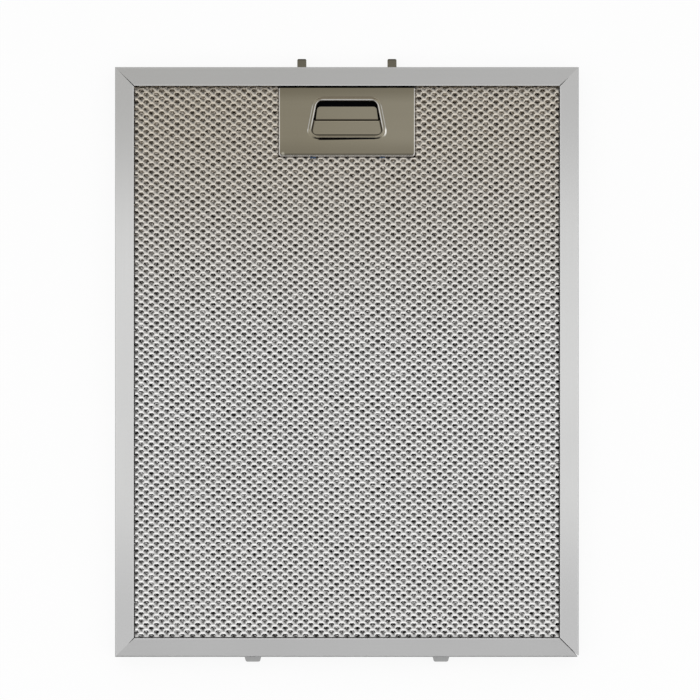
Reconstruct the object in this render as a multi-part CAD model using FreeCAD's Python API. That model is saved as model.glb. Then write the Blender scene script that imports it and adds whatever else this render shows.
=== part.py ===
# Cooker hood grease filter: a folded aluminium channel round five layers of expanded mesh, with a
# sprung stainless latch at its top edge and two locating lugs at its bottom edge.
# Millimetres. The filter lies on its back: +Z is the side that faces the cook, +Y is the latch
# edge, and the origin is the middle of the frame's back face.
import FreeCAD
import Part

import math
import os

Vector = FreeCAD.Vector

# Frame, one strip of aluminium sheet
frame_width = 250.0
frame_height = 318.0
frame_depth = 9.0
frame_sheet = 0.6
rim_width = 10.2  # flange of the channel, the same at front and back
frame_bend = 0.3  # inside radius of the strip's folds
rim_edge_round = 0.2  # broken edge of the flange beside the mesh
open_mitre = 0.45  # gap between the strip's two ends, at the bottom right corner
open_tip = 1.3  # how far both ends stop short of that corner
mitre_spread = 0.5  # width of a folded corner's mitre cut where it starts
mitre_reach_top_left = 0.9  # how much of each folded mitre stands open
mitre_reach_top_right = 0.5
mitre_reach_bottom_left = 0.33

# Expanded mesh, five layers that fill the channel
layer_count = 5
mesh_inset = 4.0  # from the frame's outside to the edge of the mesh
face_long_way = 23.0  # lattice pitch across and along the two outer sheets
face_short_way = 16.5
inner_long_way = 57.0  # the same on the inner sheets
inner_short_way = 42.0
pit_floor = 0.35  # metal left under a closed cell
strand_width = 3.2  # foot of a strand, measured along the sheet
strand_lean = 0.8  # how far the cells' floors lie off centre, towards the latch

# Handle cover, stamped from stainless sheet
cover_width = 74.0
cover_height = 37.0
cover_gap = 1.2  # slot between the cover and the frame's flange
cover_sheet = 0.6
cover_corner = 2.0
cover_round = 1.0  # where the skirt is turned down
tab_length = 6.0  # crimped tabs under the housing's rails
tab_inset = 9.0  # from the cover's ends to the middle of a tab
window_drop = 7.0  # from the cover's top edge to the window
window_height = 18.6
window_top_width = 32.0
window_bottom_width = 39.4
window_corner = 3.2
bead_width = 2.3
bead_height = 0.9
bead_crest = 0.8  # from the window's edge to the middle of the bead's top
bead_flat = 0.5  # width of the bead's top
bead_lip = 0.2  # height of the bead at the window's edge

# Latch housing, a folded tray behind the slider
housing_sheet = 0.5
housing_bend = 0.3
housing_rail = 2.6  # width of the rails on which the slider runs
running_gap = 0.3  # between the slider and what guides it
fixed_gap = 0.2  # between parts that stay put

# Latch slider, one piece of stainless sheet
slider_sheet = 0.8
slider_bend = 0.3
slider_corner = 1.0
grip_height = 8.4  # grip in the window, from the window's bottom edge to the step
grip_overlap = 1.8  # how far the grip passes under the window's bottom edge
pocket_length = 8.0  # floor of the finger pocket, from the step to its free end
pocket_root_width = 34.0
pocket_end_width = 31.9
pocket_corner = 1.8
arm_width = 9.8
shoulder_height = 4.0  # from the step to the arms' shoulders
arm_height = 10.8  # from the step to where the arms drop to the bolts
bolt_spacing = 48.8
bolt_width = 4.9
bolt_reach = 4.95  # how far the bolts stand out of the frame
bolt_corner = 0.8
tongue_width = 1.2  # tongues that keep the springs in line
tongue_length = 2.6

# Springs behind the slider
spring_wire = 0.4
spring_outside = 3.6
spring_turns = 4  # working turns, with one closed turn more at each end
closed_pitch = 0.46
facets_per_turn = 6

# Locating lugs, flat stampings
lug_spacing = 101.8
lug_sheet = 1.2
lug_root_width = 9.3
lug_tip_width = 7.6
lug_reach = 3.25
lug_corner = 1.1
lug_bar_width = 16.0
slot_gap = 0.3  # round the bolts and the lugs in the frame's slots

# Levels and places worked out from the sizes above
half_width = frame_width / 2
half_height = frame_height / 2
opening_half_width = half_width - rim_width
opening_half_height = half_height - rim_width
middle_level = frame_depth / 2
layer_depth = (frame_depth - 2 * frame_sheet) / layer_count

cover_top = opening_half_height - cover_gap
cover_bottom = cover_top - cover_height
cover_half = cover_width / 2
cover_under = frame_depth - cover_sheet
window_top = cover_top - window_drop
window_bottom = window_top - window_height

slider_top = cover_under - running_gap
slider_under = slider_top - slider_sheet
rail_top = slider_under - running_gap
rail_under = rail_top - housing_sheet
housing_floor_under = frame_sheet + layer_depth
housing_floor = housing_floor_under + housing_sheet
housing_half = cover_half - cover_sheet - running_gap
housing_wall_half = housing_half - housing_rail
housing_end = cover_bottom + cover_sheet + fixed_gap
housing_end_inside = housing_end + housing_sheet
housing_top = half_height - frame_sheet - frame_bend

pocket_under = housing_floor + running_gap
pocket_level = pocket_under + slider_sheet
step_place = window_bottom + grip_height
spring_wall = window_bottom - grip_overlap
slider_half = housing_half - housing_sheet - running_gap
bolt_half = bolt_spacing / 2
spring_wall_half = bolt_half + spring_outside
bolt_top = middle_level + slider_sheet
bolt_under = middle_level

spring_level = (slider_under + housing_floor) / 2
overlap = 1.0  # how far cutting and joining shapes run past the metal
touch = 1e-6  # how near an edge lies to the plane it is picked by


def block(x_range, y_range, z_range):
    """Box between three pairs of limits."""
    size = [high - low for low, high in (x_range, y_range, z_range)]
    return Part.makeBox(*size, Vector(x_range[0], y_range[0], z_range[0]))


def centred(half):
    """Limits the same distance to each side of the middle plane."""
    return (-half, half)


def rounded_outline(corners, radii):
    """Closed wire of straight runs whose corners are rounded by tangent arcs."""
    arrivals = []
    departures = []
    arcs = []
    for index, corner in enumerate(corners):
        back = (corners[index - 1] - corner).normalize()
        ahead = (corners[(index + 1) % len(corners)] - corner).normalize()
        radius = radii[index]
        if radius == 0:
            arrivals.append(corner)
            departures.append(corner)
            arcs.append(None)
            continue
        half_angle = back.getAngle(ahead) / 2
        run_in = radius / math.tan(half_angle)
        inward = (back + ahead).normalize()
        nearest = corner + inward * (radius / math.sin(half_angle) - radius)
        arrivals.append(corner + back * run_in)
        departures.append(corner + ahead * run_in)
        arcs.append(Part.Arc(arrivals[-1], nearest, departures[-1]).toShape())
    edges = []
    for index, arc in enumerate(arcs):
        if arc:
            edges.append(arc)
        following = (index + 1) % len(corners)
        edges.append(Part.makeLine(departures[index], arrivals[following]))
    return Part.Wire(edges)


def plan(points, level):
    """Points of an outline that lies flat at a level."""
    return [Vector(x, y, level) for x, y in points]


def plate(points, radii, level, thickness):
    """Flat plate with rounded corners, its underside at a level."""
    outline = rounded_outline(plan(points, level), radii)
    return Part.Face(outline).extrude(Vector(0, 0, thickness))


def bent_strip(section, radii, x_range):
    """Bent sheet: a section of (y, z) points run along X."""
    low, high = x_range
    outline = rounded_outline([Vector(low, y, z) for y, z in section], radii)
    return Part.Face(outline).extrude(Vector(high - low, 0, 0))


def joined(shapes):
    """One solid from shapes that meet."""
    return shapes[0].multiFuse(shapes[1:]).removeSplitter()


def facet_solid(facets):
    """Solid inside a closed skin of flat faces."""
    shell = Part.Shell(facets)
    shell.sewShape()
    solid = Part.Solid(shell)
    if solid.Volume < 0:
        solid.reverse()
    return solid


def facet(*points):
    """Flat face through three or four points."""
    return Part.Face(Part.makePolygon([*points, points[0]]))


def flat_face(outer, holes):
    """Flat face inside one wire, less the holes in it."""
    return Part.makeFace([outer, *holes], "Part::FaceMakerBullseye")


def mitre_wedge(side_x, side_y, reach):
    """Cut that opens a folded corner's mitre from the inside, closing to nothing at its reach."""
    inner = Vector(side_x * opening_half_width, side_y * opening_half_height, -overlap)
    along = Vector(side_x, side_y, 0).normalize()
    across = Vector(-side_y, side_x, 0).normalize() * (mitre_spread / 2)
    start = inner - along * mitre_spread
    tip = inner + along * (reach * (rim_width - frame_sheet) * math.sqrt(2))
    return facet(start - across, tip, start + across).extrude(Vector(0, 0, frame_depth + 2 * overlap))


def open_corner():
    """Cuts between the strip's two ends: the gap along the mitre, and the clipped tip."""
    gap = block((-rim_width, rim_width * 2), centred(open_mitre / 2), (-overlap, frame_depth + overlap))
    gap.rotate(Vector(), Vector(0, 0, 1), -45)
    gap.translate(Vector(opening_half_width, -opening_half_height, 0))
    tip = [
        Vector(half_width - open_tip, -half_height, -overlap),
        Vector(half_width + open_tip, -half_height - 2 * open_tip, -overlap),
        Vector(half_width + 2 * open_tip, -half_height - open_tip, -overlap),
        Vector(half_width, -half_height + open_tip, -overlap),
    ]
    return [gap, facet(*tip).extrude(Vector(0, 0, frame_depth + 2 * overlap))]


def web_slot(x, side, width, z_range):
    """Slot in the channel's top or bottom web for a flat tongue."""
    y_range = sorted([side * (half_height - frame_sheet - overlap), side * (half_height + overlap)])
    x_half = width / 2 + slot_gap
    return block((x - x_half, x + x_half), y_range, (z_range[0] - slot_gap, z_range[1] + slot_gap))


def channel(half_length, distance, turn):
    """One side of the frame: the strip's section, its web outside, with ends cut to the mitres."""
    outside = frame_bend + frame_sheet
    front = frame_depth - frame_sheet
    section = [
        (0, 0, outside),
        (rim_width, 0, rim_edge_round),
        (rim_width, frame_sheet, 0),
        (frame_sheet, frame_sheet, frame_bend),
        (frame_sheet, front, frame_bend),
        (rim_width, front, 0),
        (rim_width, frame_depth, rim_edge_round),
        (0, frame_depth, outside),
    ]
    points = [(y - distance, z) for y, z, radius in section]
    strip = bent_strip(points, [radius for y, z, radius in section], centred(half_length))
    inner = rim_width + overlap
    mitred = [
        (-half_length, -distance),
        (half_length, -distance),
        (half_length - inner, inner - distance),
        (inner - half_length, inner - distance),
    ]
    side = strip.common(plate(mitred, [0] * 4, -overlap, frame_depth + 2 * overlap))
    side.rotate(Vector(), Vector(0, 0, 1), turn)
    return side


def make_frame():
    """Channel frame: four sides folded from one strip, with the strip's ends at one corner."""
    ring = joined(
        [
            channel(half_width, half_height, 0),
            channel(half_height, half_width, 90),
            channel(half_width, half_height, 180),
            channel(half_height, half_width, 270),
        ]
    )
    cuts = [
        mitre_wedge(-1, 1, mitre_reach_top_left),
        mitre_wedge(1, 1, mitre_reach_top_right),
        mitre_wedge(-1, -1, mitre_reach_bottom_left),
        *open_corner(),
    ]
    lug_levels = (middle_level - lug_sheet / 2, middle_level + lug_sheet / 2)
    for side in (-1, 1):
        cuts.append(web_slot(side * bolt_half, 1, bolt_width, (bolt_under, bolt_top)))
        cuts.append(web_slot(side * lug_spacing / 2, -1, lug_root_width, lug_levels))
    return ring.cut(cuts)


def make_mesh(long_way, short_way, notched, first_gap=0):
    """Expanded sheet from 0 to layer_depth: strands stand as ridges round diamond cells.

    The cells are pits with leaning walls, and every fourth one is a gap right through, counted
    from first_gap so that one sheet's gaps can lie over another's closed cells."""
    columns = max(2, round(2 * opening_half_width / long_way))
    rows = max(2, round(2 * opening_half_height / short_way))
    step_x = opening_half_width / columns
    step_y = opening_half_height / rows
    edge_x = half_width - mesh_inset
    edge_y = half_height - mesh_inset
    notch_half = cover_half + fixed_gap
    notch_bottom = cover_bottom - fixed_gap
    floor_share = 1 - strand_width / (2 * step_y)

    def node(column, row, level):
        return Vector(column * step_x - opening_half_width, row * step_y - opening_half_height, level)

    def clear_of_notch(column, row):
        centre = node(column, row, 0)
        beside = abs(centre.x) - step_x > notch_half
        below = centre.y + step_y < notch_bottom
        return beside or below or not notched

    outline = [(-edge_x, -edge_y), (edge_x, -edge_y), (edge_x, edge_y)]
    if notched:
        outline += [(notch_half, edge_y), (notch_half, notch_bottom)]
        outline += [(-notch_half, notch_bottom), (-notch_half, edge_y)]
    outline.append((-edge_x, edge_y))

    facets = []
    border = {}
    gaps = []
    for column in range(1, 2 * columns):
        for row in range(1, 2 * rows):
            if (column + row) % 2 == 0 or not clear_of_notch(column, row):
                continue
            around = [(column - 1, row), (column, row - 1), (column + 1, row), (column, row + 1)]
            rim = [node(*place, layer_depth) for place in around]
            rising = (column + row - 1) // 2
            falling = (column - row - 1) // 2
            is_gap = rising % 2 == first_gap and falling % 2 == first_gap
            middle = node(column, row, layer_depth)
            sunk = Vector(0, strand_lean, -layer_depth if is_gap else pit_floor - layer_depth)
            floor = [middle + (corner - middle) * floor_share + sunk for corner in rim]
            if is_gap:
                gaps.append(Part.makePolygon([*floor, floor[0]]))
            else:
                facets.append(facet(*floor))
            for side in range(4):
                after = (side + 1) % 4
                facets.append(facet(rim[side], rim[after], floor[after], floor[side]))
                strand = frozenset([around[side], around[after]])
                if strand in border:
                    del border[strand]
                else:
                    border[strand] = Part.makeLine(rim[side], rim[after])

    for index, (x, y) in enumerate(outline):
        next_x, next_y = outline[(index + 1) % len(outline)]
        foot = [Vector(x, y, 0), Vector(next_x, next_y, 0)]
        head = [Vector(next_x, next_y, layer_depth), Vector(x, y, layer_depth)]
        facets.append(facet(*foot, *head))
    lattice_edge = [Part.Wire(edges) for edges in Part.sortEdges(list(border.values()))]
    for level, holes in ((0, gaps), (layer_depth, lattice_edge)):
        points = plan(outline, level)
        facets.append(flat_face(Part.makePolygon([*points, points[0]]), holes))
    return facet_solid(facets)


def layer(sheet, index):
    """A sheet moved to its place in the stack, counted from the back."""
    sheet.translate(Vector(0, 0, frame_sheet + index * layer_depth))
    return sheet


def window_outline(level):
    """Finger window: wider at the bottom than at the top, with round corners."""
    points = [
        (-window_bottom_width / 2, window_bottom),
        (window_bottom_width / 2, window_bottom),
        (window_top_width / 2, window_top),
        (-window_top_width / 2, window_top),
    ]
    return rounded_outline(plan(points, level), [window_corner] * 4)


def along_window(section):
    """Ring round the window: a section of points, in distance out and level, swept round it."""
    path = window_outline(0)
    first = path.OrderedEdges[0]
    start = first.valueAt(first.FirstParameter)
    out = first.tangentAt(first.FirstParameter).cross(Vector(0, 0, 1))
    placed = [start + out * distance + Vector(0, 0, level) for distance, level in section]
    return path.makePipeShell([Part.makePolygon([*placed, placed[0]])], True, False)


def make_cover():
    """Handle cover: plate with three sides turned down, a beaded window and crimped tabs."""
    outline = [
        (-cover_half, cover_bottom),
        (cover_half, cover_bottom),
        (cover_half, cover_top),
        (-cover_half, cover_top),
    ]
    radii = [cover_corner, cover_corner, 0, 0]
    skin = plate(outline, radii, rail_under, frame_depth - rail_under)

    def turned(edge):
        box = edge.BoundBox
        return box.ZMin > frame_depth - touch and box.YMin < cover_top - touch

    skin = skin.makeFillet(cover_round, [edge for edge in skin.Edges if turned(edge)])
    inside_half = cover_half - cover_sheet
    inside = [
        (-inside_half, cover_bottom + cover_sheet),
        (inside_half, cover_bottom + cover_sheet),
        (inside_half, cover_top + overlap),
        (-inside_half, cover_top + overlap),
    ]
    inside_radii = [cover_corner - cover_sheet, cover_corner - cover_sheet, 0, 0]
    hollow = plate(inside, inside_radii, rail_under - overlap, cover_under - rail_under + overlap)

    crest_start = bead_crest - bead_flat / 2
    crest_end = bead_crest + bead_flat / 2
    crest_level = frame_depth + bead_height
    bead = along_window(
        [
            (0, cover_under),
            (0, frame_depth + bead_lip),
            (crest_start, crest_level),
            (crest_end, crest_level),
            (bead_width, frame_depth),
            (bead_width, cover_under),
        ]
    )
    groove = along_window(
        [
            (cover_sheet, cover_under),
            (cover_sheet, crest_level - cover_sheet),
            (crest_end, crest_level - cover_sheet),
            (bead_width - cover_sheet, cover_under),
        ]
    )
    window = Part.Face(window_outline(cover_under - overlap)).extrude(Vector(0, 0, frame_depth))
    tabs = []
    for side in (-1, 1):
        for middle in (cover_bottom + tab_inset, cover_top - tab_inset):
            x_range = sorted([side * (housing_wall_half + running_gap), side * cover_half])
            y_range = (middle - tab_length / 2, middle + tab_length / 2)
            tabs.append(block(x_range, y_range, (rail_under - cover_sheet, rail_under)))
    return joined([skin.cut(hollow), bead, *tabs]).cut([groove, window])


def make_housing():
    """Latch housing: a tray whose stepped sides make the slider's rails and carry the cover."""
    outside = housing_bend + housing_sheet
    wall_inside = housing_wall_half - housing_sheet
    right = [
        (housing_wall_half, housing_floor_under, outside),
        (housing_wall_half, rail_under, housing_bend),
        (housing_half, rail_under, outside),
        (housing_half, cover_under, 0),
        (housing_half - housing_sheet, cover_under, 0),
        (housing_half - housing_sheet, rail_top, housing_bend),
        (wall_inside, rail_top, outside),
        (wall_inside, housing_floor, housing_bend),
    ]
    section = right + [(-x, z, radius) for x, z, radius in reversed(right)]
    points = [Vector(x, housing_end, z) for x, z, radius in section]
    outline = rounded_outline(points, [radius for x, z, radius in section])
    tray = Part.Face(outline).extrude(Vector(0, housing_top - housing_end, 0))
    end_wall = block(
        centred(wall_inside), (housing_end, housing_end_inside), (housing_floor_under, rail_under)
    )
    footprint = [
        (-housing_half, housing_end),
        (housing_half, housing_end),
        (housing_half, housing_top),
        (-housing_half, housing_top),
    ]
    end_corner = cover_corner - cover_sheet
    trimmed = plate(footprint, [end_corner, end_corner, 0, 0], 0, frame_depth)
    return joined([tray.common(trimmed), end_wall])


def make_slider():
    """Latch slider: grip and stepped pocket floor in the window, arms beside it and bolts on them."""
    outside = slider_bend + slider_sheet
    grip_start = spring_wall + outside
    inner_half = bolt_half - arm_width / 2
    outer_half = bolt_half + arm_width / 2
    shoulder = step_place + shoulder_height
    arm_top = step_place + arm_height
    right = [
        (slider_half, grip_start, slider_corner),
        (slider_half, shoulder, slider_corner),
        (outer_half, shoulder, 0),
        (outer_half, arm_top, slider_corner),
        (inner_half, arm_top, slider_corner),
        (inner_half, step_place, 0),
    ]
    outline = right + [(-x, y, radius) for x, y, radius in reversed(right)]
    bar = plate(
        [(x, y) for x, y, radius in outline],
        [radius for x, y, radius in outline],
        slider_under,
        slider_sheet,
    )

    pocket_end = step_place + pocket_length
    step_root = step_place - slider_sheet - outside
    step_section = [
        (step_root, slider_top),
        (step_place, slider_top),
        (step_place, pocket_level),
        (pocket_end, pocket_level),
        (pocket_end, pocket_under),
        (step_place - slider_sheet, pocket_under),
        (step_place - slider_sheet, slider_under),
        (step_root, slider_under),
    ]
    step_radii = [0, outside, slider_bend, 0, 0, outside, slider_bend, 0]
    step = bent_strip(step_section, step_radii, centred(pocket_root_width / 2))
    tongue = plate(
        [
            (-pocket_root_width / 2, step_root - overlap),
            (pocket_root_width / 2, step_root - overlap),
            (pocket_root_width / 2, step_place),
            (pocket_end_width / 2, pocket_end),
            (-pocket_end_width / 2, pocket_end),
            (-pocket_root_width / 2, step_place),
        ],
        [0, 0, 0, pocket_corner, pocket_corner, 0],
        pocket_under - overlap,
        frame_depth,
    )
    step_relief = block(
        centred(pocket_root_width / 2), (step_root, step_place + overlap), (slider_under, slider_top)
    )
    bar = bar.cut(step_relief)

    spring_level_low = spring_level - spring_outside / 2
    flange_section = [
        (spring_wall, slider_top),
        (spring_wall, spring_level_low),
        (spring_wall + slider_sheet, spring_level_low),
        (spring_wall + slider_sheet, slider_under),
        (grip_start + overlap, slider_under),
        (grip_start + overlap, slider_top),
    ]
    flange = bent_strip(flange_section, [outside, 0, 0, slider_bend, 0, 0], centred(spring_wall_half))
    pieces = [bar, step.common(tongue), flange]

    drop = slider_top - bolt_top
    mitre = slider_sheet * math.tan(math.pi / 8)
    bolt_end = half_height + bolt_reach
    bolt_section = [
        (arm_top - overlap, slider_top),
        (arm_top, slider_top),
        (arm_top + drop, bolt_top),
        (bolt_end, bolt_top),
        (bolt_end, bolt_under),
        (arm_top + drop - mitre, bolt_under),
        (arm_top - mitre, slider_under),
        (arm_top - overlap, slider_under),
    ]
    for side in (-1, 1):
        x_range = (side * bolt_half - bolt_width / 2, side * bolt_half + bolt_width / 2)
        bolt = bent_strip(bolt_section, [0] * len(bolt_section), x_range)
        ends = [edge for edge in bolt.Edges if edge.BoundBox.YMin > bolt_end - touch]
        corners = [edge for edge in ends if edge.BoundBox.XLength < touch]
        pieces.append(bolt.makeFillet(bolt_corner, corners))
        pieces.append(
            block(
                (side * bolt_half - tongue_width / 2, side * bolt_half + tongue_width / 2),
                (spring_wall - tongue_length, spring_wall + slider_sheet / 2),
                (spring_level - slider_sheet / 2, spring_level + slider_sheet / 2),
            )
        )
    return joined(pieces)


def make_spring(side):
    """Compression spring between the housing's end wall and the slider, with closed end turns."""
    mean_radius = (spring_outside - spring_wire) / 2
    half_wire = spring_wire / 2
    low = housing_end_inside + half_wire
    high = spring_wall - half_wire
    working_pitch = (high - low - 2 * closed_pitch) / spring_turns
    all_turns = spring_turns + 2
    sections = []
    for index in range(all_turns * facets_per_turn + 1):
        turns = index / facets_per_turn
        closed = min(turns, 1) + max(turns - spring_turns - 1, 0)
        working = min(max(turns - 1, 0), spring_turns)
        place = low + closed * closed_pitch + working * working_pitch
        angle = 2 * math.pi * turns
        out = Vector(math.cos(angle), 0, math.sin(angle))
        axis_point = Vector(side * bolt_half, place, spring_level)
        corners = []
        for across, along in ((-1, -1), (1, -1), (1, 1), (-1, 1)):
            radius = mean_radius + across * half_wire
            corners.append(axis_point + out * radius + Vector(0, along * half_wire, 0))
        sections.append(corners)
    facets = [facet(*sections[0]), facet(*sections[-1])]
    for near, far in zip(sections, sections[1:]):
        for corner in range(4):
            after = (corner + 1) % 4
            facets.append(facet(near[corner], near[after], far[after]))
            facets.append(facet(near[corner], far[after], far[corner]))
    return facet_solid(facets)


def make_lug(side):
    """Locating lug: a flat tongue through the frame's bottom web, held by a bar behind it."""
    web_inside = -half_height + frame_sheet
    bar_back = -half_height + mesh_inset - fixed_gap
    tip = -half_height - lug_reach
    right = [
        (lug_tip_width / 2, tip, lug_corner),
        (lug_root_width / 2, -half_height, 0),
        (lug_root_width / 2, web_inside, 0),
        (lug_bar_width / 2, web_inside, 0),
        (lug_bar_width / 2, bar_back, 0),
    ]
    outline = right + [(-x, y, radius) for x, y, radius in reversed(right)]
    middle = side * lug_spacing / 2
    return plate(
        [(middle + x, y) for x, y, radius in outline],
        [radius for x, y, radius in outline],
        middle_level - lug_sheet / 2,
        lug_sheet,
    )


def make_parts():
    """Every piece of the filter, by name."""
    front_sheet = make_mesh(face_long_way, face_short_way, True)
    back_sheet = make_mesh(face_long_way, face_short_way, False)
    back_sheet = back_sheet.mirror(Vector(0, 0, layer_depth / 2), Vector(0, 0, 1))
    parts = {
        "frame": make_frame(),
        "back_mesh": layer(back_sheet, 0),
        "front_mesh": layer(front_sheet, layer_count - 1),
        "handle_cover": make_cover(),
        "latch_housing": make_housing(),
        "latch_slider": make_slider(),
    }
    for index, name in enumerate(("back", "middle", "front")):
        inner_sheet = make_mesh(inner_long_way, inner_short_way, True, first_gap=index % 2)
        parts["inner_mesh_" + name] = layer(inner_sheet, index + 1)
    for name, side in (("left", -1), ("right", 1)):
        parts["latch_spring_" + name] = make_spring(side)
        parts["locating_lug_" + name] = make_lug(side)
    return parts


os.makedirs("parts", exist_ok=True)
for node, shape in make_parts().items():
    shape.exportStep("parts/" + node + ".step")
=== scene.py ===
import math

import bmesh
import bpy
import numpy as np
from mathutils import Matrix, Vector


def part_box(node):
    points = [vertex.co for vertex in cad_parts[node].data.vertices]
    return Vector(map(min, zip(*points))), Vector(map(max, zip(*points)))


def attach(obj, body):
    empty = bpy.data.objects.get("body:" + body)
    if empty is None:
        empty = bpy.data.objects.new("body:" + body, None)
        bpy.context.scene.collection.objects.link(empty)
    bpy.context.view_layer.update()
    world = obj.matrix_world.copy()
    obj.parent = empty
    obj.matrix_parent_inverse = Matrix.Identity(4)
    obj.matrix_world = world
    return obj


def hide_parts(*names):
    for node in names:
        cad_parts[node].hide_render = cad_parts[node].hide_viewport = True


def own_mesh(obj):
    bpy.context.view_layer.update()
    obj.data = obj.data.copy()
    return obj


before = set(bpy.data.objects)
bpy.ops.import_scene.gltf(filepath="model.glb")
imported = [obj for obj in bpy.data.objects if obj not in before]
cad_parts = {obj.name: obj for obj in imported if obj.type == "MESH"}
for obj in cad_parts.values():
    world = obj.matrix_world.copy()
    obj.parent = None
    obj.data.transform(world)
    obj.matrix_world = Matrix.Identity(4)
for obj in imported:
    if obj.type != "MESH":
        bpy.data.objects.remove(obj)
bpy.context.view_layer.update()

# Metres, in the filter's own frame: +Z out of its front face, +Y towards its latch edge.
MM = 0.001

# Frame: outline, flange and the round of its folds
frame_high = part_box("frame")[1]
half_width = frame_high[0]
half_height = frame_high[1]
front_level = frame_high[2]
rim_width = 10.2 * MM
fold_round = 0.9 * MM

# Handle cover: smooth pressing with a round bead at its window
cover_low, cover_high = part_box("handle_cover")
cover_half = cover_high[0]
cover_top = cover_high[1]
cover_bottom = cover_low[1]
cover_sheet = 0.6 * MM
cover_under = front_level - cover_sheet
cover_corner = 2.0 * MM
cover_round = 1.5 * MM
skirt_foot = 6.5 * MM
window_top = cover_top - 7.0 * MM
window_bottom = window_top - 18.6 * MM
window_top_half = 16.0 * MM
window_bottom_half = 19.7 * MM
window_corner = 3.2 * MM
bead_width = 2.3 * MM
bead_height = 0.9 * MM
bead_crest = 0.8 * MM
bead_lip = 0.2 * MM
flat_margin = 0.4 * MM
tab_places = (119.6 * MM, 138.6 * MM)  # crimped tabs under the cover's two sides
tab_length = 6.0 * MM
tab_width = 3.2 * MM
tab_sheet = 0.6 * MM

# Latch slider: the step between its grip and the pocket floor, and the end of its bolts
slider_fold = 130.4 * MM
bolt_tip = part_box("latch_slider")[1][1]


class Signal:
    """One output in a node tree. Sums on signals become Math nodes of that tree."""

    def __init__(self, tree, socket):
        self.tree = tree
        self.socket = socket

    def maths(self, operation, *terms):
        return self.tree.node("ShaderNodeMath", {"operation": operation}, dict(enumerate(terms)))

    def __add__(self, other):
        return self.maths("ADD", self, other)

    __radd__ = __add__

    def __sub__(self, other):
        return self.maths("SUBTRACT", self, other)

    def __rsub__(self, other):
        return self.maths("SUBTRACT", other, self)

    def __mul__(self, other):
        return self.maths("MULTIPLY", self, other)

    __rmul__ = __mul__

    def __abs__(self):
        return self.maths("ABSOLUTE", self)

    def most(self, other):
        """The larger of two signals."""
        return self.maths("MAXIMUM", self, other)

    def root(self):
        return self.maths("SQRT", self)

    def ramp(self, start, end):
        """Smooth rise from 0 at start to 1 at end."""
        sockets = {"Value": self, "From Min": start, "From Max": end}
        return self.tree.node("ShaderNodeMapRange", {"interpolation_type": "SMOOTHSTEP"}, sockets)

    def band(self, middle, half, soft):
        """1 within half of the middle, falling to 0 over the soft edge."""
        return 1 - abs(self - middle).ramp(half, half + soft)


class Tree:
    """The nodes of a finish, or of the light round the filter."""

    def __init__(self, node_tree):
        self.node_tree = node_tree
        node_tree.nodes.clear()

    def node(self, kind, settings=None, sockets=None, output=0):
        """Any node: its settings first, then the values or links of its sockets."""
        made = self.node_tree.nodes.new(kind)
        for name, value in (settings or {}).items():
            setattr(made, name, value)
        for name, value in (sockets or {}).items():
            if isinstance(value, Signal):
                self.node_tree.links.new(value.socket, made.inputs[name])
            else:
                made.inputs[name].default_value = value
        return Signal(self, made.outputs[output]) if made.outputs else None

    def split(self, vector):
        """The three parts of a vector."""
        return [self.node("ShaderNodeSeparateXYZ", None, {0: vector}, output) for output in range(3)]

    def place(self):
        """Where a point of the surface lies in the filter's frame."""
        return self.split(self.node("ShaderNodeTexCoord", output="Object"))

    def noise(self, place, scales, detail=2.0):
        """Noise from about 0 to 1. A small scale along one axis draws it out into streaks."""
        x, y, z = [part * scale for part, scale in zip(place, scales)]
        spot = self.node("ShaderNodeCombineXYZ", None, {"X": x, "Y": y, "Z": z})
        return self.node("ShaderNodeTexNoise", None, {"Vector": spot, "Scale": 1.0, "Detail": detail})

    def tint(self, share, first, second):
        """Colour that goes from first to second as share goes from 0 to 1."""
        sockets = {0: share, 6: first, 7: second}
        return self.node("ShaderNodeMix", {"data_type": "RGBA"}, sockets, output=2)

    def relief(self, height, depth, strength):
        """Normal of a surface with a small relief, in metres."""
        sockets = {"Height": height, "Distance": depth, "Strength": strength}
        return self.node("ShaderNodeBump", None, sockets)

    def finish(self, sockets):
        """The surface's shader."""
        shader = self.node("ShaderNodeBsdfPrincipled", None, sockets)
        self.node("ShaderNodeOutputMaterial", None, {"Surface": shader})


def colour(red, green, blue):
    """A plain colour, in linear light."""
    return (red, green, blue, 1.0)


def grey(level):
    """A colour without hue."""
    return colour(level, level, level)


def new_finish(name):
    """An empty material and its nodes."""
    material = bpy.data.materials.new(name)
    material.use_nodes = True
    return material, Tree(material.node_tree)


def past_outline(x, y):
    """How far outside the frame's outline a place lies. Inside it the distance is negative."""
    return (abs(x) - half_width).most(abs(y) - half_height)


# Marks on the frame and the outer meshes, mostly painted light and shade
mitre_soft = 0.2 * MM  # how softly the grain turns at a mitre
# Painted highlight along the flange's inner edge: middle, half width, soft edge
edge_highlight = (0.25 * MM - rim_width, 0.15 * MM, 0.2 * MM)
latch_shade_start = -0.1 * half_height  # where the warm painted shade towards the latch begins on the meshes
sunk_edge = 2.7 * MM  # painted shade: strands are dark up to this level, from the middle of the filter's depth
raised_edge = 3.55 * MM  # and free of the painted shade from this one outwards
rim_shade_start = 1.0 * MM  # painted shadow line on the mesh, from the frame's flange
rim_shade_full = 0.4 * MM
rolled_depth = 0.02 * MM  # height of rolling marks


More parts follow.
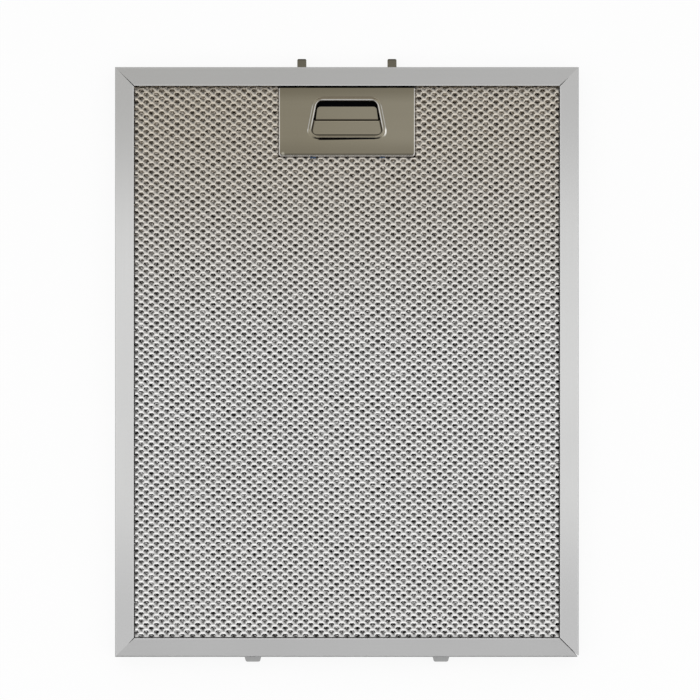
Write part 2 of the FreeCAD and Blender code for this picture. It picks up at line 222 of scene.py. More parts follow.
def satin_aluminium():
    """Frame strip: satin aluminium, rolled along the strip, with painted shade at its folds.

    Its strips across the filter are darker than its long sides, as a painted reflection, and the long
    sides have painted shade at their ends. Painted shade makes it darker and warmer towards the latch,
    most of all on the left, and a painted highlight runs along the flange's inner edge."""
    material, tree = new_finish("satin_aluminium")
    place = tree.place()
    x, y = place[:2]
    mitre = half_height - half_width
    runs_across = (abs(y) - abs(x)).ramp(mitre - mitre_soft, mitre + mitre_soft)
    across = tree.noise(place, scales=(22, 2600, 2600), detail=4.0)
    upright = tree.noise(place, scales=(2600, 22, 2600), detail=4.0)
    streak = runs_across * across + (1 - runs_across) * upright
    cloud = tree.noise(place, scales=(14, 14, 14))
    tone = 0.35 * streak + 0.65 * cloud
    # Painted reflection: the long sides are lighter than the strips across the filter
    upright_tone = tree.tint(tone, colour(0.645, 0.645, 0.64), colour(0.765, 0.765, 0.76))
    # Painted shade: the long sides are duller at their ends
    ends = abs(y).ramp(0.4 * half_height, 0.9 * half_height)
    upright_tone = tree.tint(ends, upright_tone, grey(0.585))
    across_tone = tree.tint(tone, grey(0.475), grey(0.56))
    base = tree.tint(runs_across, upright_tone, across_tone)
    # Painted shade: darker and warmer towards the latch, most of all on the left
    latch_shade = y.ramp(0.3 * half_height, half_height) * (0.42 - 0.22 * x.ramp(-half_width, half_width))
    base = tree.tint(latch_shade, base, colour(0.36, 0.352, 0.325))
    outer = past_outline(x, y)
    # Painted shade on the round of the outer folds
    fold = outer.ramp(-fold_round, -0.35 * fold_round)
    base = tree.tint(fold * 0.6, base, grey(0.36))
    # Painted highlight along the flange's inner edge
    base = tree.tint(outer.band(*edge_highlight) * 0.5, base, grey(0.78))
    tree.finish(
        {
            "Base Color": base,
            "Metallic": 0.85,
            "Roughness": 0.36 + 0.12 * streak,
            "Normal": tree.relief(streak, rolled_depth, 0.5),
        }
    )
    return material


def strand_aluminium():
    """Outer meshes: bare aluminium strands, with painted shade on their sunk edges and warm painted
    shade near the latch.

    A painted shadow lies along the frame, where the mesh goes under its flange."""
    material, tree = new_finish("strand_aluminium")
    place = tree.place()
    x, y, z = place
    patch = tree.noise(place, scales=(60, 60, 60))
    grain = tree.noise(place, scales=(900, 3000, 3000))
    base = tree.tint(0.6 * patch + 0.4 * grain, colour(0.78, 0.775, 0.765), colour(0.94, 0.935, 0.925))
    # Painted shade: warmer and darker towards the latch
    latch_shade = y.ramp(latch_shade_start, half_height) * (0.85 - 0.13 * x.ramp(-half_width, half_width))
    base = tree.tint(latch_shade, base, colour(0.57, 0.505, 0.405))
    # Painted shade on the strands' sunk edges
    outwards = abs(z - front_level / 2)
    base = tree.tint(outwards.ramp(sunk_edge, raised_edge), colour(0.11, 0.107, 0.101), base)
    # Painted shadow of the flange along the frame
    flange_shadow = past_outline(x, y).ramp(-rim_width - rim_shade_start, -rim_width - rim_shade_full)
    base = tree.tint(flange_shadow * 0.9, base, colour(0.05, 0.049, 0.047))
    tree.finish(
        {
            "Base Color": base,
            "Metallic": 0.85,
            "Roughness": 0.25 + 0.12 * grain,
            "Normal": tree.relief(grain, rolled_depth, 0.4),
        }
    )
    return material


def inner_aluminium():
    """Inner meshes: thin dull foil, with painted glints where a strand's twist catches the light, and
    warm painted shade near the latch.
    """
    twist_depth = 0.3 * MM
    material, tree = new_finish("inner_aluminium")
    place = tree.place()
    y = place[1]
    twist = tree.noise(place, scales=(1000, 1000, 1000))
    # Painted glints where a strand's twist catches the light
    painted_glint = twist.ramp(0.46, 0.58)
    base = tree.tint(painted_glint, colour(0.12, 0.118, 0.114), colour(0.98, 0.97, 0.96))
    # Painted shade: warmer and darker towards the latch
    latch_shade = y.ramp(latch_shade_start, half_height)
    base = tree.tint(latch_shade * 0.68, base, colour(0.50, 0.41, 0.29))
    tree.finish(
        {
            "Base Color": base,
            "Metallic": 0.5,
            "Roughness": 0.22 + 0.2 * twist,
            "Normal": tree.relief(twist, twist_depth, 0.5),
        }
    )
    return material


# Marks on the cover, mostly painted light and shade. Rings round its window: distance outside the
# window's edge, half width, soft edge
# painted shade above the bead
shade_ring = (1.7 * MM, 0.5 * MM, 0.4 * MM)
# painted highlight on the lip
lip_ring = (0.45 * MM, 0.25 * MM, 0.15 * MM)
# painted highlight on the bead's flanks
flank_ring = (1.9 * MM, 0.12 * MM, 0.25 * MM)
glint_ring = (1.8 * MM, 0.2 * MM, 0.3 * MM)
glint_height = (2.0 * MM, 1.0 * MM, 2.0 * MM)  # middle above the window's bottom, half height, soft edge
glint_reach = 3.0 * MM  # width of the corner that the glint lies in
low_margin = 2.0 * MM  # the cover's darker low part is fullest up to this height
top_fade = 9.0 * MM  # height of the darker part below the cover's top
shade_rise = 1.0 * MM  # height over which the painted shade above the bead sets in
lip_fade = 8.0 * MM  # height over which the lip's painted highlight sets in
bead_span = (0.0, 14.5 * MM, 2.0 * MM)  # straight part of the bead's foot: middle, half, soft edge
foot_line = (0.8 * MM, 0.6 * MM, 0.3 * MM)  # painted shade at the bead's foot under the window: distance, half width, soft edge
dark_reflection_place = 1.9 * MM  # painted dark reflection under the bead, thick on the left and gone on the right
dark_reflection_half = 0.42 * MM
dark_reflection_soft = 0.3 * MM
dark_reflection_taper = (-14.0 * MM, 17.0 * MM)
crease_line = (1.3 * MM, 0.2 * MM, 0.3 * MM)  # painted shade in the crease: distance above the cover's bottom, half width, soft edge
burr_x = -cover_half + 2.5 * MM  # painted highlight of the burr
burr_y = cover_bottom + 1.6 * MM
burr_core = 0.2 * MM
burr_reach = 1.3 * MM

# Marks on the slider: painted shade, and dark tips on its bolts
grip_soft = 1.0 * MM  # how softly the painted shade at the grip's edge ends at the fold
grip_shade = (-1.0 * MM, -0.5 * MM)  # painted shade at the grip's edge, from the window's edge
fold_line = (slider_fold + 0.4 * MM, 0.75 * MM, 0.3 * MM)  # painted shade in the slider's fold: middle, half width, soft edge
tip_start = 1.0 * MM  # dark tips of the bolts, from their ends
tip_full = 0.3 * MM


def window_distance(x, y):
    """How far outside the finger window's rounded edge a place lies, and how far into its ends."""
    slope = (window_bottom_half - window_top_half) / (window_top - window_bottom)
    side = (abs(x) - (window_top_half + (window_top - y) * slope)) * math.cos(math.atan(slope))
    beside = (side + window_corner).most(0)
    into_end = ((y - window_top).most(window_bottom - y) + window_corner).most(0)
    return (beside * beside + into_end * into_end).root() - window_corner, into_end


def cover_marks_and_painted_light(tree, x, y, base):
    """Cover: painted highlights on its lip, the bead's flanks and its turned edge, and painted shade
    above the bead.

    A painted dark reflection lies in a line under the bead, with painted shade at the bead's foot and in
    the crease along the bottom. Painted highlights stand for the glint at the bead's lower right corner
    and the lifted burr at the cover's lower left corner. It is darker low down and under its top edge."""
    from_window, into_end = window_distance(x, y)
    low_part = 1 - y.ramp(cover_bottom + low_margin, window_bottom)
    base = tree.tint(low_part * 0.5, base, colour(0.17, 0.150, 0.108))
    top_part = y.ramp(cover_top - top_fade, cover_top)
    base = tree.tint(top_part * 0.5, base, colour(0.125, 0.107, 0.070))
    # Painted shade on the bead's flank above the window
    above = from_window.band(*shade_ring) * y.ramp(window_top, window_top + shade_rise)
    base = tree.tint(above * 0.5, base, colour(0.11, 0.085, 0.060))
    # Painted highlight on the lip
    lip = from_window.band(*lip_ring) * y.ramp(window_bottom, window_bottom + lip_fade)
    base = tree.tint(lip * 0.45, base, colour(0.80, 0.80, 0.82))
    # Painted highlight on the bead's flanks
    flank = from_window.band(*flank_ring) * (1 - into_end.ramp(0, 0.8 * window_corner))
    base = tree.tint(flank * 0.62, base, colour(0.70, 0.69, 0.66))
    corner = x.ramp(window_bottom_half - glint_reach, window_bottom_half)
    glint = from_window.band(*glint_ring) * corner * (y - window_bottom).band(*glint_height)
    base = tree.tint(glint * 0.8, base, colour(0.95, 0.93, 0.88))
    below = window_bottom - y
    inside = x.band(*bead_span)
    # Painted shade at the bead's foot under the window
    base = tree.tint(below.band(*foot_line) * inside * 0.4, base, colour(0.11, 0.098, 0.072))
    # Painted dark reflection in a line under the bead
    painted_dark = dark_reflection_half * (1 - x.ramp(*dark_reflection_taper))
    dark_reflection_line = inside * (1 - abs(below - dark_reflection_place).ramp(painted_dark, painted_dark + dark_reflection_soft))
    base = tree.tint(dark_reflection_line, base, grey(0.004))
    # Painted shade in the crease along the bottom
    crease = (y - cover_bottom).band(*crease_line)
    base = tree.tint(crease * 0.65, base, colour(0.04, 0.036, 0.028))
    # Painted highlight on the turned edge
    past_side = (abs(x) - cover_half + cover_corner).most(0)
    past_bottom = (cover_bottom + cover_corner - y).most(0)
    outside = (past_side * past_side + past_bottom * past_bottom).root() - cover_corner
    turned_edge_highlight = outside.ramp(-0.6 * cover_round, -0.4 * cover_round)
    base = tree.tint(turned_edge_highlight * 0.7, base, colour(0.88, 0.87, 0.88))
    # Painted highlight on the lifted burr
    beside_burr = x - burr_x
    over_burr = y - burr_y
    from_burr = (beside_burr * beside_burr + over_burr * over_burr).root()
    burr = 1 - from_burr.ramp(burr_core, burr_reach)
    return tree.tint(burr * 0.42, base, colour(0.80, 0.77, 0.66))


def slider_painted_shade(tree, x, y, base):
    """Slider: painted shade where its grip meets the lip and in its fold.

    Painted shade darkens the bolts that come out of the frame, and they are darker still at their tips."""
    from_window = window_distance(x, y)[0]
    # Painted shade where the grip meets the lip
    grip_edge = from_window.ramp(*grip_shade) * (1 - y.ramp(slider_fold - grip_soft, slider_fold))
    base = tree.tint(grip_edge * 0.9, base, colour(0.02, 0.017, 0.012))
    # Painted shade in the fold
    fold = y.band(*fold_line)
    base = tree.tint(fold * 0.85, base, colour(0.022, 0.016, 0.009))
    # Painted shade on the bolts that come out of the frame
    bolts = y.ramp(half_height - fold_round, half_height)
    base = tree.tint(bolts, base, colour(0.155, 0.142, 0.108))
    tips = y.ramp(bolt_tip - tip_start, bolt_tip - tip_full)
    return tree.tint(tips * 0.8, base, colour(0.055, 0.051, 0.039))


def brushed_stainless(name, piece_marks):
    """Latch sheet: stainless, brushed along the filter's width, with painted light that makes it lighter
    towards the right, and the marks of its own piece.
    """
    brush_depth = 0.01 * MM
    material, tree = new_finish(name)
    place = tree.place()
    x, y = place[:2]
    brush = tree.noise(place, scales=(35, 3500, 3500), detail=4.0)
    cloud = tree.noise(place, scales=(30, 45, 45))
    tone = 0.5 * brush + 0.5 * cloud
    base = tree.tint(tone, colour(0.225, 0.200, 0.143), colour(0.283, 0.256, 0.192))
    # Painted light: lighter towards the right
    base = tree.tint(x.ramp(-cover_half, cover_half) * 0.4, base, colour(0.33, 0.303, 0.238))
    tree.finish(
        {
            "Base Color": piece_marks(tree, x, y, base),
            "Metallic": 1.0,
            "Roughness": 0.13 + 0.08 * brush,
            "Normal": tree.relief(brush, brush_depth, 0.3),
        }
    )
    return material


def shaded_steel():
    """Inside of the latch housing: bare steel, painted nearly black as the shade deep in the pocket,
    with mottled patches.
    """
    material, tree = new_finish("shaded_steel")
    # Painted shade: the housing is nearly black, with mottled patches
    painted_dark = tree.noise(tree.place(), scales=(160, 160, 160), detail=3.0)
    tree.finish(
        {
            "Base Color": tree.tint(painted_dark, colour(0.003, 0.003, 0.004), colour(0.008, 0.008, 0.010)),
            "Metallic": 1.0,
            "Roughness": 0.5 + 0.2 * painted_dark,
        }
    )
    return material


def plain_steel(name, pale, dull):
    """Lugs and springs: drawn steel with fine rolling marks."""
    material, tree = new_finish(name)
    marks = tree.noise(tree.place(), scales=(1800, 120, 1800), detail=3.0)
    tree.finish(
        {
            "Base Color": tree.tint(marks, dull, pale),
            "Metallic": 0.9,
            "Roughness": 0.34 + 0.15 * marks,
            "Normal": tree.relief(marks, rolled_depth, 0.4),
        }
    )
    return material


def blue_film():
    """Scraps of protective film."""
    crease_depth = 0.05 * MM
    material, tree = new_finish("blue_film")
    crease = tree.noise(tree.place(), scales=(1500, 900, 900), detail=3.0)
    tree.finish(
        {
            "Base Color": tree.tint(crease, colour(0.003, 0.018, 0.05), colour(0.008, 0.045, 0.11)),
            "Roughness": 0.35 + 0.2 * crease,
            "Normal": tree.relief(crease, crease_depth, 0.5),
        }
    )
    return material


def white_floor():
    """Pale floor that shows white to the camera and in the metal, and keeps a soft shadow."""
    shadow_margin = 2.0 * MM  # how far inside the frame's outline the white begins
    white_share = 0.85
    material, tree = new_finish("white_floor")
    place = tree.place()
    x, y = place[:2]
    seen = tree.node("ShaderNodeLightPath", output="Is Camera Ray")
    mirrored = tree.node("ShaderNodeLightPath", output="Is Glossy Ray")
    through = tree.node("ShaderNodeLightPath", output="Is Transmission Ray")
    paper = tree.tint(tree.noise(place, scales=(40, 40, 1)), grey(0.94), grey(0.96))
    matt = tree.node("ShaderNodeBsdfDiffuse", None, {"Color": paper})
    white = tree.node("ShaderNodeEmission", None, {"Color": grey(1), "Strength": 1.0})
    beyond = past_outline(x, y).ramp(-shadow_margin, 0)
    share = white_share * beyond * seen.most(mirrored).most(through)
    surface = tree.node("ShaderNodeMixShader", None, {0: share, 1: matt, 2: white})
    tree.node("ShaderNodeOutputMaterial", None, {"Surface": surface})
    return material


def new_piece(name, points, faces, material, smooth_angle):
    """A mesh piece with a finish, which rides on the filter."""
    mesh = bpy.data.meshes.new(name)
    mesh.from_pydata(points, [], faces)
    mesh.shade_smooth()
    mesh.set_sharp_from_angle(angle=smooth_angle)
    mesh.materials.append(material)
    piece = bpy.data.objects.new(name, mesh)
    bpy.context.scene.collection.objects.link(piece)
    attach(piece, "filter")
    return piece


def face_outwards(piece):
    """Turns every face of a closed piece to the outside."""
    shell = bmesh.new()
    shell.from_mesh(piece.data)
    bmesh.ops.recalc_face_normals(shell, faces=shell.faces)
    shell.to_mesh(piece.data)
    shell.free()


# Expanded mesh: strands run across in arches, and each dips to a bond on every arch below it
# A sheet's pitch across and along the filter, the width of its strands and its thickness
outer_sheet = (5.55 * MM, 3.97 * MM, 0.78 * MM, 0.38 * MM)
inner_sheet = (7.45 * MM, 5.25 * MM, 0.72 * MM, 0.3 * MM)
strand_lean = math.radians(38)  # how far the strands lean out of the sheet
strand_steps = (0.0, 0.19, 0.32, 0.68, 0.81)  # places along a pitch, from the middle of a dip
lower_climb = (0.0, 0.0, 1.0, 1.0, 0.0)  # how far the strand's lower edge has climbed to its arch there
upper_climb = (0.0, 0.62, 1.0, 1.0, 0.62)  # and how far its upper edge has
dip_reach = 0.5  # share of the climb that a dip's upper edge keeps
strand_sides = 3  # corners of a strand's section
strand_smooth = math.radians(65)  # edges that turn more than this stay sharp
mesh_tuck = 1.0 * MM  # how far the mesh runs under the frame's flange
notch_gap = 0.05 * MM
cut_length = 0.1 * MM  # shortest piece of strand left at a cut end
mesh_waver = 0.12 * MM  # slow wander of the rows
waver_across = 31 * MM
waver_along = 47 * MM


def strand_run(start, end, shift, long_way):
    """Stations along one strand between two ends, and how far both of its edges have climbed there."""
    first = math.floor((start - shift) / long_way) - 1
    last = math.ceil((end - shift) / long_way) + 1
    turns = np.arange(first, last)[:, None] + np.array(strand_steps)[None, :]
    stations = (turns * long_way + shift).ravel()
    inside = stations[(stations > start + cut_length) & (stations < end - cut_length)]
    places = np.concatenate([[start], inside, [end]])
    lower = np.interp(places, stations, np.tile(lower_climb, last - first))
    upper = np.interp(places, stations, np.tile(upper_climb, last - first))
    return places, lower, upper


def strand_faces(first, count):
    """Faces of one strand: its sides between the stations and its two ends."""
    faces = []
    for station in range(count - 1):
        near = first + strand_sides * station
        far = near + strand_sides
        for corner in range(strand_sides):
            after = (corner + 1) % strand_sides
            faces.append((near + corner, near + after, far + after, far + corner))
    tail = first + strand_sides * (count - 1)
    faces.append(tuple(first + corner for corner in reversed(range(strand_sides))))
    faces.append(tuple(tail + corner for corner in range(strand_sides)))
    return faces


def expanded_mesh(node, material, sheet, shift, turned=False):
    """Expanded sheet in place of a node: rows of arched strands, cut out round the latch.

    A strand's lower edge stands out of the sheet over a hole, and its upper edge sinks into it."""
    long_way, short_way, strand_width, strand_sheet = sheet
    low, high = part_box(node)
    edge_x = half_width - rim_width + mesh_tuck
    edge_y = half_height - rim_width + mesh_tuck
    notch_half = cover_half + notch_gap
    notch_bottom = cover_bottom - notch_gap
    notched = node != "back_mesh"
    row_step = short_way / 2
    climb = row_step - strand_width
    drop = strand_width * math.tan(strand_lean)
    points = []
    faces = []
    made = 0
    for row in range(math.floor(2 * edge_y / row_step)):
        foot = -edge_y + row * row_step
        runs = [(-edge_x, edge_x)]
        if notched and foot + row_step > notch_bottom:
            runs = [(-edge_x, -notch_half), (notch_half, edge_x)]
        for start, end in runs:
            places, lower, upper = strand_run(start, end, shift + row % 2 * long_way / 2, long_way)
            bond_y = foot + mesh_waver * np.sin(places / waver_across + foot / waver_along)
            lower_y = bond_y + climb * lower
            upper_y = bond_y + strand_width + climb * (dip_reach + (1 - dip_reach) * upper)
            lower_z = drop * lower
            upper_z = drop * (upper - 1)
            under_y = lower_y - strand_sheet * math.sin(strand_lean)
            under_z = lower_z - strand_sheet * math.cos(strand_lean)
            corners = [(under_y, under_z), (upper_y, upper_z), (lower_y, lower_z)]
            section = [np.stack([places, y, z], axis=1) for y, z in corners]
            points.append(np.stack(section, axis=1).reshape(-1, 3))
            faces += strand_faces(made, len(places))
            made += strand_sides * len(places)
    cloud = np.concatenate(points)
    if turned:
        cloud[:, 1:] *= -1
        cloud[:, 2] += low[2] - cloud[:, 2].min()
    else:
        cloud[:, 2] += high[2] - cloud[:, 2].max()
    piece = new_piece(node + "_strands", cloud, faces, material, strand_smooth)
    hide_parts(node)


# Handle cover's mesh
corner_points = 14  # points round each corner of the window and of the cover
top_shares = np.linspace(0.999, 0.6, corner_points - 1)  # places along half of the cover's top edge
crest_steps = 6  # rings over the bead's crest, down its flank and round the cover's edge
flank_steps = 9
edge_steps = 6
top_fall = 0.5 * cover_sheet  # fall of the flat top edge while the other edges roll over
top_foot = 0.75 * cover_sheet
hollow_outer = 1.6 * cover_sheet  # depth of the bead's hollow underside below its crest
hollow_inner = 1.4 * cover_sheet
cover_smooth = math.radians(35)


def window_ring(offset, level):
    """Loop round the finger window, at a distance outside its edge."""
    corners = [
        np.array([-window_bottom_half, window_bottom]),
        np.array([window_bottom_half, window_bottom]),
        np.array([window_top_half, window_top]),
        np.array([-window_top_half, window_top]),
    ]
    ring = []
    for index, corner in enumerate(corners):
        back = corners[index - 1] - corner
        ahead = corners[(index + 1) % 4] - corner
        back = back / np.linalg.norm(back)
        ahead = ahead / np.linalg.norm(ahead)
        half_angle = math.acos(np.clip(back @ ahead, -1, 1)) / 2
        bisector = (back + ahead) / np.linalg.norm(back + ahead)
        centre = corner + bisector * window_corner / math.sin(half_angle)
        sweep = math.pi - 2 * half_angle
        outward = math.atan2(-bisector[1], -bisector[0])
        for step in np.linspace(-sweep / 2, sweep / 2, corner_points):
            direction = np.array([math.cos(outward + step), math.sin(outward + step)])
            spot = centre + direction * (window_corner + offset)
            ring.append((spot[0], spot[1], level))
    return ring


def edge_ring(inset, level, top_inset, top_level):
    """Loop round the cover's edge, with its own inset and level along the top edge."""
    reach = cover_corner - inset
    centre_y = cover_bottom + cover_corner
    edge_y = cover_top - top_inset
    ring = []
    for side in (-1, 1):
        centre_x = side * (cover_half - cover_corner)
        start = math.pi if side < 0 else 1.5 * math.pi
        for step in np.linspace(0, math.pi / 2, corner_points):
            x = centre_x + reach * math.cos(start + step)
            y = centre_y + reach * math.sin(start + step)
            ring.append((x, y, level))
    for side in (1, -1):
        edge_x = side * (cover_half - inset)
        flank = (edge_x, edge_y, level)
        top = [(edge_x * share, edge_y, top_level) for share in top_shares]
        ring += [flank, *top] if side > 0 else [*reversed(top), flank]
    return ring


def cover_rings():
    """Loops over the cover's sheet: up the lip, over the bead, round the edge and back underneath."""
    rings = [window_ring(0, cover_under)]
    lip_level = front_level + bead_lip
    for turn in np.linspace(0, math.pi / 2, crest_steps):
        offset = bead_crest * (1 - math.cos(turn))
        rings.append(window_ring(offset, lip_level + (bead_height - bead_lip) * math.sin(turn)))
    for share in np.linspace(0, 1, flank_steps)[1:]:
        offset = bead_crest + (bead_width - bead_crest) * share
        fall = 0.5 + 0.5 * math.cos(math.pi * share)
        rings.append(window_ring(offset, front_level + bead_height * fall))
    rings.append(window_ring(bead_width + flat_margin, front_level))
    rings.append(edge_ring(cover_round + flat_margin, front_level, flat_margin, front_level))
    for step, turn in enumerate(np.linspace(0, math.pi / 2, edge_steps)):
        inset = cover_round * (1 - math.sin(turn))
        level = front_level - cover_round * (1 - math.cos(turn))
        rings.append(edge_ring(inset, level, 0, front_level - top_fall * step / edge_steps))
    rings.append(edge_ring(0, skirt_foot, 0, front_level - top_foot))
    rings.append(edge_ring(cover_sheet, skirt_foot, 0, cover_under))
    rings.append(edge_ring(cover_sheet, cover_under, cover_sheet, cover_under))
    rings.append(window_ring(bead_width, cover_under))
    rings.append(window_ring(bead_crest + cover_sheet, front_level + bead_height - hollow_outer))
    rings.append(window_ring(cover_sheet, front_level + bead_height - hollow_inner))
    rings.append(window_ring(cover_sheet, cover_under))
    return rings


def smooth_cover(material):
    """Handle cover with a round bead, rolled edges and four crimped tabs."""
    rings = cover_rings()
    size = len(rings[0])
    points = [spot for ring in rings for spot in ring]
    faces = []
    for index in range(len(rings)):
        near = index * size
        far = (index + 1) % len(rings) * size
        for spot in range(size):
            after = (spot + 1) % size
            faces.append((near + spot, near + after, far + after, far + spot))
    for side in (-1, 1):
        for middle in tab_places:
            first = len(points)
            for level in (skirt_foot - tab_sheet, skirt_foot):
                for inset, along in ((0, -1), (tab_width, -1), (tab_width, 1), (0, 1)):
                    points.append((side * (cover_half - inset), middle + along * tab_length / 2, level))
            for corner in range(4):
                after = (corner + 1) % 4
                faces.append((first + corner, first + after, first + 4 + after, first + 4 + corner))
            faces.append(tuple(first + corner for corner in range(4)))
            faces.append(tuple(first + 4 + corner for corner in range(4)))
    piece = new_piece("handle_cover_pressing", points, faces, material, cover_smooth)
    face_outwards(piece)
    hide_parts("handle_cover")


# Springs
spring_wire = 0.2 * MM  # radius of the wire
spring_turns = 6
end_share = 0.055  # share of the length in the closed turn at each end
coil_steps = 16
wire_sides = 8
coil_smooth = math.radians(60)


def smooth_spring(node, material):
    """Coil spring of round wire with closed ends, which the latch presses together."""
    low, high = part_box(node)
    middle_x = (low[0] + high[0]) / 2
    level = (low[2] + high[2]) / 2
    radius = (high[0] - low[0]) / 2 - spring_wire
    foot = low[1] + spring_wire
    length = high[1] - low[1] - 2 * spring_wire
    along = np.array([0, 1, 0])
    open_turns = spring_turns - 2
    points = []
    for step in range(spring_turns * coil_steps + 1):
        turn = step / coil_steps
        closed = end_share * (min(turn, 1) + max(turn - spring_turns + 1, 0))
        open_share = min(max(turn - 1, 0), open_turns) / open_turns
        y = foot + length * (closed + (1 - 2 * end_share) * open_share)
        angle = 2 * math.pi * turn
        out = np.array([math.cos(angle), 0, math.sin(angle)])
        centre = np.array([middle_x, y, level]) + out * radius
        for side in range(wire_sides):
            around = 2 * math.pi * side / wire_sides
            points.append(centre + spring_wire * (math.cos(around) * out + math.sin(around) * along))
    faces = [tuple(range(wire_sides)), tuple(range(len(points) - wire_sides, len(points)))]
    for step in range(spring_turns * coil_steps):
        near = step * wire_sides
        far = near + wire_sides
        for side in range(wire_sides):
            after = (side + 1) % wire_sides
            faces.append((near + side, near + after, far + after, far + side))
    piece = new_piece(node + "_coil", points, faces, material, coil_smooth)
    face_outwards(piece)
    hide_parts(node)
    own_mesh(piece)


# Scraps of film
film_columns = 7
film_rows = 4
film_sheet = 0.06 * MM
film_gap = 0.02 * MM  # between the film and the cover's edge
film_drop = 0.35 * MM  # below the filter's front
film_sag = 0.2 * MM
sag_turn = 2.2  # radians of the sag's curve
tear_depth = 0.35  # share of the reach that is torn away
tear_waves = 5.3  # radians of the torn edge's waves
tear_shift = 900  # radians per metre, so that each scrap is torn in its own way
film_smooth = math.radians(50)


def film_scrap(name, middle_x, width, reach, material):
    """Torn scrap of film that sticks out from under the cover's lower edge."""
    points = []
    for side in (0, 1):
        for row in range(film_rows):
            for column in range(film_columns):
                across = column / (film_columns - 1)
                out = row / (film_rows - 1)
                tear = 1 - tear_depth * abs(math.sin(tear_waves * across + middle_x * tear_shift))
                x = middle_x + (across - 0.5) * width
                y = cover_bottom - film_gap - out * reach * tear
                z = front_level - film_drop - film_sag * math.sin(sag_turn * out) + film_sheet * side
                points.append((x, y, z))
    layer = film_rows * film_columns
    faces = []
    for row in range(film_rows - 1):
        for column in range(film_columns - 1):
            spot = row * film_columns + column
            quad = (spot, spot + 1, spot + film_columns + 1, spot + film_columns)
            faces.append(quad)
            faces.append(tuple(layer + corner for corner in reversed(quad)))
    rim = list(range(film_columns))
    rim += [row * film_columns + film_columns - 1 for row in range(1, film_rows)]
    rim += [(film_rows - 1) * film_columns + column for column in range(film_columns - 2, -1, -1)]
    rim += [row * film_columns for row in range(film_rows - 2, 0, -1)]
    for index, spot in enumerate(rim):
        after = rim[(index + 1) % len(rim)]
        faces.append((spot, after, layer + after, layer + spot))
    piece = new_piece(name, points, faces, material, film_smooth)
    face_outwards(piece)


def give_finish(node, material):
    """Puts a finish on a node that keeps its own shape."""
    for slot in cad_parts[node].material_slots:
        slot.material = material


face_finish = strand_aluminium()
inner_finish = inner_aluminium()
lug_finish = plain_steel("lug_steel", pale=grey(0.44), dull=grey(0.36))
spring_finish = plain_steel("spring_steel", pale=grey(0.50), dull=grey(0.40))
film_finish = blue_film()

give_finish("frame", satin_aluminium())
give_finish("latch_housing", shaded_steel())
give_finish("latch_slider", brushed_stainless("slider_stainless", slider_painted_shade))
give_finish("locating_lug_left", lug_finish)
give_finish("locating_lug_right", lug_finish)

expanded_mesh("front_mesh", face_finish, outer_sheet, shift=0.0)
expanded_mesh("inner_mesh_front", inner_finish, inner_sheet, shift=1.3 * MM)
expanded_mesh("inner_mesh_middle", inner_finish, inner_sheet, shift=3.1 * MM)
expanded_mesh("inner_mesh_back", inner_finish, inner_sheet, shift=4.6 * MM)
expanded_mesh("back_mesh", face_finish, outer_sheet, shift=0.7 * MM, turned=True)
smooth_cover(brushed_stainless("cover_stainless", cover_marks_and_painted_light))
smooth_spring("latch_spring_left", spring_finish)
smooth_spring("latch_spring_right", spring_finish)
film_scrap("film_scrap_left", -18.3 * MM, width=3.2 * MM, reach=1.2 * MM, material=film_finish)
film_scrap("film_scrap_right", 19.1 * MM, width=3.0 * MM, reach=0.9 * MM, material=film_finish)


def lay_floor():
    """Floor that the filter lies on."""
    reach = 3.0
    mesh = bpy.data.meshes.new("floor")
    corners = [(-reach, -reach, 0), (reach, -reach, 0), (reach, reach, 0), (-reach, reach, 0)]
    mesh.from_pydata(corners, [], [(0, 1, 2, 3)])
    mesh.materials.append(white_floor())
    floor = bpy.data.objects.new("floor", mesh)
    bpy.context.scene.collection.objects.link(floor)


def soft_light(name, place, length, height, power):
    """Soft box that lights the filter from a place, with its length level."""
    light = bpy.data.lights.new(name, "AREA")
    light.shape = "RECTANGLE"
    light.size = length
    light.size_y = height
    light.energy = power
    lamp = bpy.data.objects.new(name, light)
    lamp.location = place
    lamp.rotation_euler = lamp.location.to_track_quat("Z", "Y").to_euler()
    bpy.context.scene.collection.objects.link(lamp)


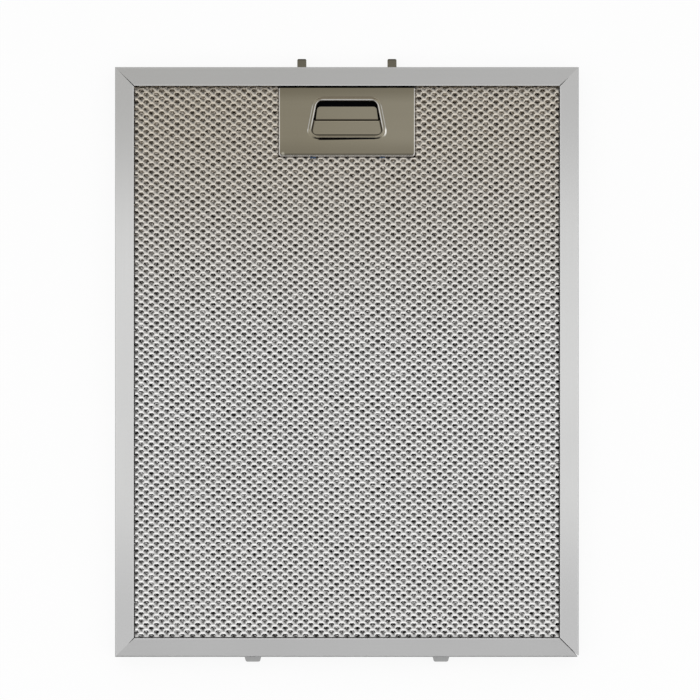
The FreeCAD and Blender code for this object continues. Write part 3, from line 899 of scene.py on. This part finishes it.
def light_room():
    """Pale light from all round, brighter over the latch side and dark low down on the lug side.

    At the latch side's horizon it is warm and dull. A soft strip stands on the left and on the right,
    and a small box on the lug side. The camera sees the room white."""
    world = bpy.data.worlds.new("pale_room")
    world.use_nodes = True
    tree = Tree(world.node_tree)
    # Parts of a direction into the room, each from -1 to 1
    x, y, z = tree.split(tree.node("ShaderNodeTexCoord", output="Generated"))
    tone = tree.tint(abs(x).ramp(0.35, 0.9), grey(0.95), grey(0.9))
    tone = tree.tint(abs(y).ramp(0.06, 0.3), tone, grey(0.75))
    far_light = y.ramp(0.35, 0.75) * z.ramp(0.0, 0.12)
    tone = tree.tint(far_light, tone, grey(1.27))
    latch_side = y.ramp(0.45, 0.9) * (1 - z.ramp(-0.05, 0.2))
    tone = tree.tint(latch_side, tone, colour(0.56, 0.52, 0.46))
    lug_side = (-1 * y).ramp(0.78, 0.9)
    tone = tree.tint(lug_side, tone, colour(0.02, 0.02, 0.025))
    seen = tree.node("ShaderNodeLightPath", output="Is Camera Ray")
    tone = tree.tint(seen, tone, grey(1.0))
    back = tree.node("ShaderNodeBackground", None, {"Color": tone, "Strength": 1.0})
    tree.node("ShaderNodeOutputWorld", None, {"Surface": back})
    bpy.context.scene.world = world
    soft_light("left_strip", place=(-0.85, -0.15, 0.55), length=1.0, height=0.6, power=0.9)
    soft_light("right_strip", place=(0.85, -0.15, 0.55), length=1.0, height=0.6, power=1.0)
    soft_light("lug_side_box", place=(0.0, -0.85, 0.85), length=0.4, height=0.4, power=0.45)


def set_camera():
    """Camera straight above the filter, at the photograph's framing."""
    distance = 0.75
    view_width = 377 * MM
    view_middle = (1.67 * MM, 6.46 * MM)
    data = bpy.data.cameras.new("photo_camera")
    data.sensor_width = 36.0
    data.lens = data.sensor_width * distance / view_width
    camera = bpy.data.objects.new("photo_camera", data)
    camera.location = (*view_middle, front_level + distance)
    bpy.context.scene.collection.objects.link(camera)
    bpy.context.scene.camera = camera


lay_floor()
light_room()
set_camera()
bpy.context.scene.view_settings.view_transform = "Standard"
